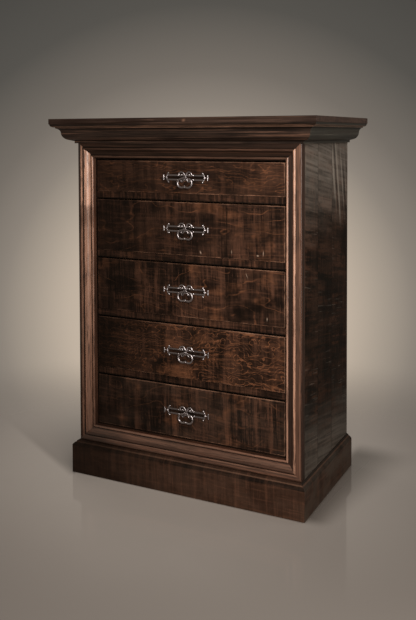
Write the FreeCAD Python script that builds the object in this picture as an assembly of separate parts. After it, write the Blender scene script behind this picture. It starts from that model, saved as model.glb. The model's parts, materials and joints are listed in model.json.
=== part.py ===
# A tall chest of five drawers: a mitred frame round the drawers, a moulded cornice and a plinth.
# Millimetres. X runs to the right, Y to the back and Z up, from the middle of the footprint.
import FreeCAD, Part
import math
import os

Vector = FreeCAD.Vector

# Case
case_width = 915.0
case_depth = 517.0             # back edge to the front of the mitred frame
side_thickness = 22.0
back_thickness = 10.0
back_board_count = 6
back_board_gap = 1.0
back_lap = 11.0                # how far the back boards lap onto each side panel
bottom_board_thickness = 18.0

# Stiles and rails behind the mitred frame
rail_depth = 24.0
drawer_rail_height = 26.0
tenon_length = 14.0
tenon_thickness = 9.0
tenon_shoulder = 4.0

# Mitred frame moulding
moulding_width = 62.0
frame_reveal = 5.5             # stile and rail left bare between the moulding and an opening
moulding_thickness = 30.0      # at the outer band
band_width = 21.5
band_round = 3.0
quirk_depth = 3.0
quirk_width = 1.6
crest_width = 9.5
crest_rise = 1.0               # height of the crest's inner end above the outer band
crest_round = 2.0              # bulge of the crest above its chord
scoop_hollow = 2.5             # dip of the scoop below its chord
scoop_drop = 13.0              # depth of the scoop's foot behind the outer band
bead_width = 10.0
bead_round = 3.5               # height of the inner bead above its foot

# Cornice and top
slab_thickness = 21.0
slab_overhang = 80.0
slab_round = 2.0
cornice_rise = 65.5            # top of the mitred frame to the underside of the slab
cornice_lap = 6.5              # how far the cornice hangs down over the mitred frame
cornice_setback = 3.0
ovolo_radius = 11.0
fillet_height = 4.0
fillet_step = 4.0
foot_projection = 9.0
foot_height = 8.0
heel_projection = 29.0         # where the sloping soffit turns up into the round
heel_drop = 58.0               # depth of that turn below the slab
waist_projection = 46.0        # where the round turns into the hollow
waist_drop = 33.0              # depth of that turn below the slab
ogee_bulge = 4.4               # rise of the round and of the hollow over their chords

# Plinth
plinth_height = 124.0
plinth_thickness = 20.0
plinth_packing = 36.0          # thickness of the board behind the front of the plinth
plinth_bevel = 10.0
plinth_edge_height = 17.0      # height of the moulded top edge
plinth_fillet = 2.0
plinth_edge_round = 1.0

# Drawers
top_drawer_height = 119.0
middle_drawer_height = 196.0
bottom_drawer_height = 190.5
gap_above_drawer = 4.0
gap_below_drawer = 1.0
gap_beside_drawer = 3.0
front_thickness = 20.0
front_proud = 4.0              # how far a drawer front stands ahead of the rails
front_edge_round = 2.5
wall_thickness = 12.0
wall_drop = 10.0               # how far the sides lie below the top of the front
gap_behind_drawer = 14.5       # back end of the sides to the back rails
tail_length = 14.0
tail_slope = 1.0 / 7.0
tail_pitch = 46.0
tail_share = 0.55              # part of each pitch that the foot of a tail takes
panel_thickness = 6.0
panel_height = 12.0            # underside of the panel above the lower edge of the sides
groove_depth = 5.0
groove_clearance = 0.2
back_dado = 4.0
back_inset = 12.0
back_drop = 6.0

# What the drawers run on
runner_thickness = 20.0
runner_margin = 9.0            # how far a runner reaches in past the drawer side
runner_clearance = 0.3
guide_height = 20.0
guide_clearance = 1.0
stop_height = 6.0
stop_length = 40.0
stop_spacing = 500.0
stop_clearance = 0.3

# Blocks, cleats and screws
block_size = 45.0
block_floor_gap = 10.0
cleat_size = 22.0
cleat_screws_per_side = 4
screw_radius = 2.0
screw_head_radius = 4.0
screw_head_height = 2.5
screw_bite = 13.0              # how deep the screws go into the slab
top_back_rail_height = 40.0

# Drawer pulls
pull_length = 189.0
bar_height = 19.0              # over both straps
strap_height = 3.2
strap_thickness = 4.5
crescent_height = 40.0
crescent_thickness = 5.0
crescent_width = 6.0
crescent_middle = 77.0         # distance of the crescents' backs from the middle
crescent_sweep = 8.5           # how far their tips curl in
terminal_length = 7.5
terminal_height = 21.0
terminal_thickness = 4.0
neck_height = 8.0
loop_radius = 9.5
loop_wire = 4.0
loop_spacing = 31.0
loop_rise = 9.5
loop_thickness = 5.0
strand_width = 4.0
strand_thickness = 4.0
boss_radius = 6.0
leaf_radius = 4.2
leaf_spacing = 25.0
leaf_drop = 13.0
pin_radius = 1.6
pin_overhang = 0.8
fixing_radius = 1.5
fixing_length = 14.0
fixing_point = 3.0
fixing_head_radius = 3.4
fixing_head_height = 2.4

# Rings
ring_width = 64.0
ring_drop = 40.0               # hinge axis to the lowest point
ring_wire_radius = 2.7
ring_corner_radius = 16.0
ring_dip_angle = 20.0          # how far the lower corners turn in before the dip
hinge_rise = 1.0               # hinge axis above the middle of the plate
hinge_standoff = 8.5           # hinge axis ahead of the drawer front
hinge_clearance = 0.06
lug_width = 6.0
lug_radius = 3.4
eye_width = 3.2
eye_clearance = 0.3

# Planes and levels worked out from the sizes above
half_case = case_width / 2
half_inside = half_case - side_thickness
frame_margin = moulding_width + frame_reveal
half_opening = half_case - frame_margin
half_drawer = half_opening - gap_beside_drawer
back_y = (case_depth + slab_overhang) / 2
frame_y = back_y - case_depth
face_y = frame_y + moulding_thickness
face_back_y = face_y + rail_depth
base_y = face_y - plinth_packing
back_board_y = back_y - back_thickness
back_rail_y = back_board_y - rail_depth
front_y = face_y - front_proud
front_back_y = front_y + front_thickness
opening_floor = plinth_height + frame_margin
bottom_board_z = plinth_height - bottom_board_thickness

# Rise of a quarter circle above its chord, for a radius of 1
quarter_rise = 1 - math.sqrt(0.5)

drawer_heights = [top_drawer_height] + [middle_drawer_height] * 3 + [bottom_drawer_height]

# Openings as pairs of floor and ceiling, the top drawer first
openings = []
level = opening_floor
for height in reversed(drawer_heights):
    ceiling = level + gap_below_drawer + height + gap_above_drawer
    openings.insert(0, (level, ceiling))
    level = ceiling + drawer_rail_height
opening_ceiling = openings[0][1]
frame_top = opening_ceiling + frame_margin
slab_z = frame_top + cornice_rise
overall_height = slab_z + slab_thickness


def box(x, y, z):
    """A block between a low and a high value along each axis."""
    return Part.makeBox(x[1] - x[0], y[1] - y[0], z[1] - z[0], Vector(x[0], y[0], z[0]))


def both_sides(x, y, z):
    """The same block on the right and on the left, x measured out from the middle."""
    return [box(x, y, z), box((-x[1], -x[0]), y, z)]


def arc_middle(start, end, rise):
    """A point that stands a given rise to the left of the middle of a chord."""
    along = (end[0] - start[0], end[1] - start[1])
    length = math.hypot(along[0], along[1])
    middle = ((start[0] + end[0]) / 2, (start[1] + end[1]) / 2)
    return (middle[0] - along[1] / length * rise, middle[1] + along[0] / length * rise)


def outline(start, steps, place):
    """A face bounded by steps of (end point, rise): a rise of 0 is a line, any other an arc."""
    edges = []
    here = start
    for end, rise in steps + [(start, 0)]:
        if rise:
            middle = arc_middle(here, end, rise)
            edges.append(Part.Arc(place(*here), place(*middle), place(*end)).toShape())
        else:
            edges.append(Part.LineSegment(place(*here), place(*end)).toShape())
        here = end
    return Part.Face(Part.Wire(edges))


def lines(points):
    """Steps of an outline with straight sides only."""
    return [(point, 0) for point in points]


def prism(points, place, depth):
    """A straight-sided outline pushed along a vector."""
    return outline(points[0], lines(points[1:]), place).extrude(depth)


def mirrored(shape):
    return shape.mirror(Vector(0, 0, 0), Vector(1, 0, 0))


def fused(shapes):
    return shapes[0].multiFuse(shapes[1:]).removeSplitter()


def side_panel():
    """The right-hand side, rebated for the back boards."""
    panel = box((half_inside, half_case), (face_y, back_y), (0, slab_z))
    rebate = box((half_inside, half_inside + back_lap), (back_board_y, back_y), (0, slab_z))
    return panel.cut(rebate)


def back_boards():
    half_back = half_inside + back_lap
    pitch = (2 * half_back + back_board_gap) / back_board_count
    boards = []
    for index in range(back_board_count):
        left = -half_back + index * pitch
        boards.append(box((left, left + pitch - back_board_gap), (back_board_y, back_y), (0, slab_z)))
    return boards


def rail_tenons(z):
    """Tenons at both ends of a rail that spans the opening between two heights."""
    middle = (face_y + face_back_y) / 2
    y = (middle - tenon_thickness / 2, middle + tenon_thickness / 2)
    z = (z[0] + tenon_shoulder, z[1] - tenon_shoulder)
    return both_sides((half_opening, half_opening + tenon_length), y, z)


def rail(z):
    span = box((-half_opening, half_opening), (face_y, face_back_y), z)
    return fused([span] + rail_tenons(z))


top_rail_z = (opening_ceiling, slab_z)
bottom_rail_z = (bottom_board_z, opening_floor)
drawer_rail_levels = [(floor - drawer_rail_height, floor) for floor, ceiling in openings[:-1]]


def stile():
    """The right-hand stile, mortised for every rail."""
    post = box((half_opening, half_inside), (face_y, face_back_y), (0, slab_z))
    for z in [top_rail_z, bottom_rail_z] + drawer_rail_levels:
        post = post.cut(rail_tenons(z)[0])
    return post


def moulding_section(place):
    """Section of the mitred frame: outer band, quirk, crest, scoop, quirk and inner bead.
    The first value runs in from the outer edge, the second out from the outer band's face."""
    quirk_start = band_width
    quirk_end = quirk_start + quirk_width
    crest_end = quirk_end + crest_width
    bead_end = moulding_width
    bead_start = bead_end - bead_width
    scoop_end = bead_start - quirk_width
    back = -moulding_thickness
    steps = [
        ((0, -band_round), 0),
        ((band_round, 0), band_round * quarter_rise),
        ((quirk_start, 0), 0),
        ((quirk_start, -quirk_depth), 0),
        ((quirk_end, -quirk_depth), 0),
        ((quirk_end, 0), 0),
        ((crest_end, crest_rise), crest_round),
        ((scoop_end, -scoop_drop), -scoop_hollow),
        ((scoop_end, -scoop_drop - quirk_width), 0),
        ((bead_start, -scoop_drop - quirk_width), 0),
        ((bead_start, -scoop_drop), 0),
        ((bead_end, -scoop_drop), bead_round),
        ((bead_end, back), 0),
    ]
    return outline((0, back), steps, place)


def frame_pieces():
    """The four mitred pieces of the frame, each cut from a full length by its own trapezoid."""
    outer = [(-half_case, plinth_height), (half_case, plinth_height),
             (half_case, frame_top), (-half_case, frame_top)]
    inner = [(-half_opening, opening_floor), (half_opening, opening_floor),
             (half_opening, opening_ceiling), (-half_opening, opening_ceiling)]
    depth = moulding_thickness + crest_rise + crest_round

    def mitre(first, second):
        corners = [outer[first], outer[second], inner[second], inner[first]]
        return prism(corners, lambda x, z: Vector(x, face_y, z), Vector(0, -depth, 0))

    upright = Vector(0, 0, frame_top - plinth_height)
    level = Vector(case_width, 0, 0)
    right = moulding_section(lambda w, p: Vector(half_case - w, frame_y - p, plinth_height))
    bottom = moulding_section(lambda w, p: Vector(-half_case, frame_y - p, plinth_height + w))
    top = moulding_section(lambda w, p: Vector(-half_case, frame_y - p, frame_top - w))
    right = right.extrude(upright).common(mitre(1, 2))
    return {
        "frame_right": right,
        "frame_left": mirrored(right),
        "frame_bottom": bottom.extrude(level).common(mitre(0, 1)),
        "frame_top": top.extrude(level).common(mitre(2, 3)),
    }


def wrapped(section, corner_y, reach):
    """A moulding that runs round the front and both sides, mitred at the front corners.
    The section takes a placing function of (projection from the case, height)."""
    edge_x = half_case + reach
    edge_y = corner_y - reach
    tall = Vector(0, 0, overall_height)
    flat = lambda x, y: Vector(x, y, 0)
    front_cut = prism([(-half_case, corner_y), (half_case, corner_y), (edge_x, edge_y), (-edge_x, edge_y)],
                      flat, tall)
    side_cut = prism([(half_case, corner_y), (edge_x, edge_y), (edge_x, back_y), (half_case, back_y)],
                     flat, tall)
    front = section(lambda u, z: Vector(-edge_x, corner_y - u, z)).extrude(Vector(2 * edge_x, 0, 0))
    side = section(lambda u, z: Vector(half_case + u, edge_y, z)).extrude(Vector(0, back_y - edge_y, 0))
    right = side.common(side_cut)
    return front.common(front_cut), mirrored(right), right


def cornice_section(place):
    """Foot, sloping soffit, round, hollow, fillet and ovolo, from the case out to the slab."""
    low = frame_top - cornice_lap
    ovolo_out = slab_overhang - cornice_setback
    ovolo_in = ovolo_out - ovolo_radius
    fillet_top = slab_z - ovolo_radius
    fillet_out = ovolo_in - fillet_step
    fillet_low = fillet_top - fillet_height
    steps = [
        ((foot_projection, low), 0),
        ((foot_projection, low + foot_height), 0),
        ((heel_projection, slab_z - heel_drop), 0),
        ((waist_projection, slab_z - waist_drop), -ogee_bulge),
        ((fillet_out, fillet_low), ogee_bulge),
        ((fillet_out, fillet_top), 0),
        ((ovolo_in, fillet_top), 0),
        ((ovolo_out, slab_z), -ovolo_radius * quarter_rise),
        ((0, slab_z), 0),
    ]
    return outline((0, low), steps, place)


def plinth_section(place):
    """A board with a bevel, a fillet and a small round along its top edge."""
    bevel_low = plinth_height - plinth_edge_height
    bevel_in = plinth_thickness - plinth_bevel
    bevel_top = bevel_low + plinth_bevel
    fillet_in = bevel_in - plinth_fillet
    fillet_top = bevel_top + plinth_fillet
    steps = [
        ((plinth_thickness, 0), 0),
        ((plinth_thickness, bevel_low), 0),
        ((bevel_in, bevel_top), -plinth_edge_round),
        ((fillet_in, bevel_top), 0),
        ((fillet_in, fillet_top), 0),
        ((0, plinth_height), -plinth_edge_round),
    ]
    return outline((0, 0), steps, place)


def top_slab():
    half_top = half_case + slab_overhang
    slab = box((-half_top, half_top), (-back_y, back_y), (slab_z, overall_height))
    return slab.makeFillet(slab_round, slab.Edges)


def wood_screw(x, y, head_z, length):
    """A countersunk screw driven upwards."""
    section = [(0, 0), (screw_head_radius, 0), (screw_radius, screw_head_height),
               (screw_radius, length - screw_radius), (0, length)]
    face = outline(section[0], lines(section[1:]), lambda r, h: Vector(x + r, y, head_z + h))
    return face.revolve(Vector(x, y, 0), Vector(0, 0, 1), 360)


def top_cleats():
    return both_sides((half_inside - cleat_size, half_inside), (face_back_y, back_rail_y),
                      (slab_z - cleat_size, slab_z))


def cleat_screws():
    screws = []
    pitch = (back_rail_y - face_back_y) / cleat_screws_per_side
    for index in range(cleat_screws_per_side):
        y = face_back_y + (index + 0.5) * pitch
        x = half_inside - cleat_size / 2
        for hand in (1, -1):
            screws.append(wood_screw(hand * x, y, slab_z - cleat_size, cleat_size + screw_bite))
    return screws


def back_rails():
    """One behind each runner level, one on the floor and one under the slab."""
    spans = [(floor - runner_thickness, floor) for floor, ceiling in openings]
    spans += [(0, bottom_board_z), (slab_z - top_back_rail_height, slab_z)]
    return [box((-half_inside, half_inside), (back_rail_y, back_board_y), z) for z in spans]


runner_x = (half_drawer - wall_thickness - runner_margin, half_inside)
guide_x = (half_drawer + guide_clearance, half_inside)
runner_y = (face_back_y, back_rail_y)


def drawer_runners():
    runners = []
    for floor, ceiling in openings:
        runners += both_sides(runner_x, runner_y, (floor - runner_thickness, floor))
    return runners


def drawer_guides():
    guides = []
    for floor, ceiling in openings:
        guides += both_sides(guide_x, runner_y, (floor, floor + guide_height))
    return guides


def top_kickers():
    return both_sides(runner_x, runner_y, (opening_ceiling, opening_ceiling + runner_thickness))


def drawer_stops():
    """Blocks on the rails that the backs of the drawer fronts close against."""
    x = (stop_spacing / 2 - stop_length / 2, stop_spacing / 2 + stop_length / 2)
    stops = []
    for floor, ceiling in openings:
        stops += both_sides(x, (front_back_y + stop_clearance, face_back_y), (floor, floor + stop_height))
    return stops


def corner_blocks():
    """Three-cornered glue blocks under the bottom board, at the front and the back."""
    rise = Vector(0, 0, bottom_board_z - block_floor_gap)
    place = lambda x, y: Vector(x, y, block_floor_gap)
    inner = half_inside - block_size
    front = [(half_inside, face_back_y), (half_inside, face_back_y + block_size), (inner, face_back_y)]
    back = [(half_inside, back_rail_y), (inner, back_rail_y), (half_inside, back_rail_y - block_size)]
    right = [prism(front, place, rise), prism(back, place, rise)]
    return right + [mirrored(block) for block in right]


def tails(x, low, high):
    """Dovetails on the front end of a drawer side, spread between two heights."""
    count = max(2, round((high - low) / tail_pitch))
    pitch = (high - low) / count
    half_foot = pitch * tail_share / 2
    half_tip = half_foot + tail_length * tail_slope
    shapes = []
    for index in range(count):
        middle = low + (index + 0.5) * pitch
        corners = [(front_back_y, middle - half_foot), (front_back_y, middle + half_foot),
                   (front_back_y - tail_length, middle + half_tip),
                   (front_back_y - tail_length, middle - half_tip)]
        shapes.append(prism(corners, lambda y, z: Vector(x[0], y, z), Vector(x[1] - x[0], 0, 0)))
    return shapes


def drawer_levels(floor, ceiling):
    """Heights of a drawer's front, sides and panel in its opening."""
    low = floor + gap_below_drawer
    high = ceiling - gap_above_drawer
    wall_low = floor + runner_clearance
    wall_high = high - wall_drop
    panel_low = wall_low + panel_height
    return low, high, wall_low, wall_high, panel_low


box_end_y = back_rail_y - gap_behind_drawer
drawer_back_y = (box_end_y - back_inset - wall_thickness, box_end_y - back_inset)
wall_x = (half_drawer - wall_thickness, half_drawer)


def drawer_front(floor, ceiling, fixings):
    low, high, wall_low, wall_high, panel_low = drawer_levels(floor, ceiling)
    board = box((-half_drawer, half_drawer), (front_y, front_back_y), (low, high))
    edges = [edge for edge in board.Edges if edge.BoundBox.YMax < front_y + front_edge_round]
    board = board.makeFillet(front_edge_round, edges)
    sockets = tails(wall_x, low, wall_high)
    sockets += [mirrored(tail) for tail in sockets]
    inside = half_drawer - wall_thickness + groove_depth
    groove = box((-inside, inside), (front_back_y - groove_depth, front_back_y),
                 (panel_low - groove_clearance, panel_low + panel_thickness + groove_clearance))
    return board.cut(Part.makeCompound(sockets)).cut(groove).cut(Part.makeCompound(fixings))


def drawer_box(floor, ceiling):
    """Two dovetailed sides, grooved for the panel, with the back housed between them."""
    low, high, wall_low, wall_high, panel_low = drawer_levels(floor, ceiling)
    groove_z = (panel_low - groove_clearance, panel_low + panel_thickness + groove_clearance)
    wall = box(wall_x, (front_back_y, box_end_y), (wall_low, wall_high))
    wall = fused([wall] + tails(wall_x, low, wall_high))
    groove = box((wall_x[0], wall_x[0] + groove_depth), (front_back_y - tail_length, box_end_y), groove_z)
    housing = box((wall_x[0], wall_x[0] + back_dado), drawer_back_y, (groove_z[1], wall_high))
    wall = wall.cut(groove).cut(housing)
    half_back = wall_x[0] + back_dado
    back = box((-half_back, half_back), drawer_back_y, (panel_low + panel_thickness, wall_high - back_drop))
    return [wall, mirrored(wall), back]


def drawer_bottom(floor, ceiling):
    panel_low = drawer_levels(floor, ceiling)[4]
    half_panel = wall_x[0] + groove_depth - groove_clearance
    return box((-half_panel, half_panel),
               (front_back_y - groove_depth + groove_clearance, drawer_back_y[1]),
               (panel_low, panel_low + panel_thickness))


def raised(face, thickness):
    """A face on the drawer front pushed out towards the room."""
    return face.extrude(Vector(0, -thickness, 0))


def on_front(x, z):
    return Vector(x, 0, z)


def round_face(x, z, radius):
    circle = Part.Circle(Vector(x, 0, z), Vector(0, 1, 0), radius)
    return Part.Face(Part.Wire(circle.toShape()))


def crescent():
    """The bracket near the right-hand end, with its tips curled towards the middle."""
    half = crescent_height / 2
    half_width = crescent_width / 2
    outer_tip = crescent_middle + half_width - crescent_sweep
    inner_tip = outer_tip - half_width
    inner_half = half - half_width
    steps = [
        ((outer_tip, half), -crescent_sweep),
        ((inner_tip, inner_half), 0),
        ((inner_tip, -inner_half), crescent_middle - half_width - inner_tip),
    ]
    return raised(outline((outer_tip, -half), steps, on_front), crescent_thickness)


def terminal():
    """The flared block at the right-hand end and the neck that carries it."""
    end = pull_length / 2
    waist = end - terminal_length
    half = terminal_height / 2
    neck = neck_height / 2
    points = [(crescent_middle, -neck), (waist, -neck), (end, -half), (end, half), (waist, neck),
              (crescent_middle, neck)]
    return raised(outline(points[0], lines(points[1:]), on_front), terminal_thickness)


def loops():
    """The right-hand scroll above the bar and the leaf tip below it."""
    x = loop_spacing / 2
    scroll = round_face(x, loop_rise, loop_radius).cut(round_face(x, loop_rise, loop_radius - loop_wire))
    leaf = round_face(leaf_spacing / 2, -leaf_drop, leaf_radius)
    return [raised(scroll, loop_thickness), raised(leaf, loop_thickness)]


def strand():
    """The strand that crosses from the right-hand scroll down to the left-hand leaf tip."""
    scroll = (loop_spacing / 2, loop_rise)
    leaf = (-leaf_spacing / 2, -leaf_drop)
    reach = math.dist(scroll, leaf)
    along = ((leaf[0] - scroll[0]) / reach, (leaf[1] - scroll[1]) / reach)
    half = strand_width / 2
    inset = loop_radius - loop_wire / 2
    points = []
    for distance, side in ((inset, half), (reach, half), (reach, -half), (inset, -half)):
        points.append((scroll[0] + along[0] * distance - along[1] * side,
                       scroll[1] + along[1] * distance + along[0] * side))
    return raised(outline(points[0], lines(points[1:]), on_front), strand_thickness)


def hinge_lug():
    """The ear in the middle of the plate that carries the hinge pin of the ring."""
    half = lug_width / 2
    stem = box((-half, half), (-hinge_standoff, 0), (hinge_rise - lug_radius, hinge_rise + lug_radius))
    nose = Part.makeCylinder(lug_radius, lug_width, Vector(-half, -hinge_standoff, hinge_rise), Vector(1, 0, 0))
    return [stem, nose]


def hinge_pin(radius):
    half = lug_width / 2 + eye_clearance + eye_width + pin_overhang
    return Part.makeCylinder(radius, 2 * half, Vector(-half, -hinge_standoff, hinge_rise), Vector(1, 0, 0))


def fixing(x):
    """A dome-headed screw through the back of a crescent into the drawer front."""
    shank_end = fixing_length - crescent_thickness
    dome_radius = (fixing_head_radius ** 2 + fixing_head_height ** 2) / (2 * fixing_head_height)
    half_chord = math.hypot(fixing_head_radius, fixing_head_height) / 2
    dome_rise = dome_radius - math.sqrt(dome_radius ** 2 - half_chord ** 2)
    section = outline((0, shank_end), [
        ((fixing_radius, shank_end - fixing_point), 0),
        ((fixing_radius, -crescent_thickness), 0),
        ((fixing_head_radius, -crescent_thickness), 0),
        ((0, -crescent_thickness - fixing_head_height), dome_rise),
    ], lambda r, y: Vector(x + r, y, 0))
    return section.revolve(Vector(x, 0, 0), Vector(0, -1, 0), 360)


def pull_pins():
    return [fixing(crescent_middle), fixing(-crescent_middle), hinge_pin(pin_radius)]


def pull_plate():
    """The pierced backplate: two straps, a boss, and the same ornament on both halves."""
    half_bar = bar_height / 2
    straps = []
    for low in (-half_bar, half_bar - strap_height):
        straps.append(box((-crescent_middle, crescent_middle), (-strap_thickness, 0), (low, low + strap_height)))
    boss = raised(round_face(0, hinge_rise, boss_radius), strand_thickness)
    right = [crescent(), terminal(), strand()] + loops()
    plate = fused(straps + [boss] + right + [mirrored(shape) for shape in right] + hinge_lug())
    return plate.cut(Part.makeCompound(pull_pins()))


def ring():
    """A kidney-shaped wire loop that ends in two eyes on the hinge pin."""
    corner = (ring_width / 2 - ring_wire_radius - ring_corner_radius,
              ring_wire_radius + ring_corner_radius - ring_drop)
    eye_x = lug_width / 2 + eye_clearance + eye_width / 2
    to_eye = (eye_x - corner[0], -corner[1])
    shoulder = math.atan2(to_eye[1], to_eye[0]) - math.acos(ring_corner_radius / math.hypot(*to_eye))
    low = -math.pi / 2 - math.radians(ring_dip_angle)

    def on_corner(angle):
        return (corner[0] + ring_corner_radius * math.cos(angle),
                corner[1] + ring_corner_radius * math.sin(angle))

    dip_reach = corner[0] / math.cos(low)
    dip_radius = -dip_reach - ring_corner_radius
    dip_top = (0, corner[1] - dip_reach * math.sin(low) + dip_radius)
    place = lambda x, z: Vector(x, -hinge_standoff, hinge_rise + z)
    flip = lambda point: (-point[0], point[1])
    side = on_corner((shoulder + low) / 2)
    eye = (eye_x, 0)
    path = Part.Wire([
        Part.LineSegment(place(*flip(eye)), place(*flip(on_corner(shoulder)))).toShape(),
        Part.Arc(place(*flip(on_corner(shoulder))), place(*flip(side)), place(*flip(on_corner(low)))).toShape(),
        Part.Arc(place(*flip(on_corner(low))), place(*dip_top), place(*on_corner(low))).toShape(),
        Part.Arc(place(*on_corner(low)), place(*side), place(*on_corner(shoulder))).toShape(),
        Part.LineSegment(place(*on_corner(shoulder)), place(*eye)).toShape(),
    ])
    start = flip(eye)
    heading = place(*flip(on_corner(shoulder))) - place(*start)
    circle = Part.Wire(Part.Circle(place(*start), heading, ring_wire_radius).toShape())
    wire = path.makePipeShell([circle], True, False)
    inner = lug_width / 2 + eye_clearance
    eyes = []
    for left in (inner, -inner - eye_width):
        eyes.append(Part.makeCylinder(lug_radius, eye_width, Vector(left, -hinge_standoff, hinge_rise),
                                      Vector(1, 0, 0)))
    return fused([wire] + eyes).cut(hinge_pin(pin_radius + hinge_clearance))


def on_drawer(shapes, floor, ceiling):
    """Copies of a pull's pieces at the middle of a drawer front."""
    low, high = drawer_levels(floor, ceiling)[:2]
    return [shape.translated(Vector(0, front_y, (low + high) / 2)) for shape in shapes]


nodes = {}

right_side = side_panel()
nodes["side_panel_right"] = [right_side]
nodes["side_panel_left"] = [mirrored(right_side)]
right_stile = stile()
nodes["stile_right"] = [right_stile]
nodes["stile_left"] = [mirrored(right_stile)]
nodes["top_rail"] = [rail(top_rail_z)]
nodes["bottom_rail"] = [rail(bottom_rail_z)]
nodes["drawer_rails"] = [rail(z) for z in drawer_rail_levels]
for name, piece in frame_pieces().items():
    nodes[name] = [piece]
nodes["frieze_board"] = [box((-half_case, half_case), (frame_y, face_y), (frame_top, slab_z))]
nodes["base_rail"] = [box((-half_case, half_case), (base_y, face_y), (0, plinth_height))]
for part, moulding in (("cornice", wrapped(cornice_section, frame_y, slab_overhang)),
                       ("plinth", wrapped(plinth_section, base_y, plinth_thickness))):
    for place_name, piece in zip(("front", "left", "right"), moulding):
        nodes[part + "_" + place_name] = [piece]
screws = cleat_screws()
screw_cut = Part.makeCompound(screws)
nodes["top_slab"] = [top_slab().cut(screw_cut)]
nodes["top_cleats"] = [cleat.cut(screw_cut) for cleat in top_cleats()]
nodes["cleat_screws"] = screws
nodes["back_boards"] = back_boards()
nodes["back_rails"] = back_rails()
nodes["bottom_board"] = [box((-half_inside, half_inside), (face_back_y, back_board_y),
                             (bottom_board_z, plinth_height))]
nodes["drawer_runners"] = drawer_runners()
nodes["drawer_guides"] = drawer_guides()
nodes["top_kickers"] = top_kickers()
nodes["drawer_stops"] = drawer_stops()
nodes["corner_blocks"] = corner_blocks()

plate = pull_plate()
pins = pull_pins()
hanging_ring = ring()
for number, (floor, ceiling) in enumerate(openings, start=1):
    drawer = "drawer_%d_" % number
    drawer_pins = on_drawer(pins, floor, ceiling)
    nodes[drawer + "front"] = [drawer_front(floor, ceiling, drawer_pins)]
    nodes[drawer + "box"] = drawer_box(floor, ceiling)
    nodes[drawer + "bottom"] = [drawer_bottom(floor, ceiling)]
    nodes[drawer + "pull_plate"] = on_drawer([plate], floor, ceiling)
    nodes[drawer + "pull_pins"] = drawer_pins
    nodes[drawer + "ring"] = on_drawer([hanging_ring], floor, ceiling)

os.makedirs("parts", exist_ok=True)
for name, shapes in nodes.items():
    shape = shapes[0] if len(shapes) == 1 else Part.makeCompound(shapes)
    shape.exportStep("parts/%s.step" % name)
print(len(nodes), "nodes, overall height", overall_height)
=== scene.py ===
import bpy
import bmesh
import json
import math
from mathutils import Matrix, Vector

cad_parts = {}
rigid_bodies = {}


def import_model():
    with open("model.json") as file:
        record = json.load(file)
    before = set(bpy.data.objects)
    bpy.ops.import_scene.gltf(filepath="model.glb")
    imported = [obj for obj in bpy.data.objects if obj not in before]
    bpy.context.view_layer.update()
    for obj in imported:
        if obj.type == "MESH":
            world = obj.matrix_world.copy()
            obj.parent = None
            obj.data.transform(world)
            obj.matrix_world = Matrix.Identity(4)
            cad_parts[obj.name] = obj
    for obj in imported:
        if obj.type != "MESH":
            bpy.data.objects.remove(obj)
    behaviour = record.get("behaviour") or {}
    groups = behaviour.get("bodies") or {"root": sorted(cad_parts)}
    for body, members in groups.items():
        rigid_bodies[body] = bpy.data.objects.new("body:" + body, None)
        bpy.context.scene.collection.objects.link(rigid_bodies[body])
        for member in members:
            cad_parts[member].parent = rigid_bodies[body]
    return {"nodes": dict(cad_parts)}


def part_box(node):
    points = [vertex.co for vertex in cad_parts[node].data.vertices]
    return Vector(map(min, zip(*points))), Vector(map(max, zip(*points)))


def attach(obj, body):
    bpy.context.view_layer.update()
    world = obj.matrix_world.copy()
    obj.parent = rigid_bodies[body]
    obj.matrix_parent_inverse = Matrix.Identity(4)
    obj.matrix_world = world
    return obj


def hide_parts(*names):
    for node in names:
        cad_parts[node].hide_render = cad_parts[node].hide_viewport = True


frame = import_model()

nodes = frame["nodes"]
for stray in [o for o in bpy.context.scene.objects if o.name in ("Cube", "Light", "Camera")]:
    bpy.data.objects.remove(stray)
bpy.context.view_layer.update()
drawerNumbers = range(1, 6)
print("frame loaded:", len(nodes), "nodes")


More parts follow.
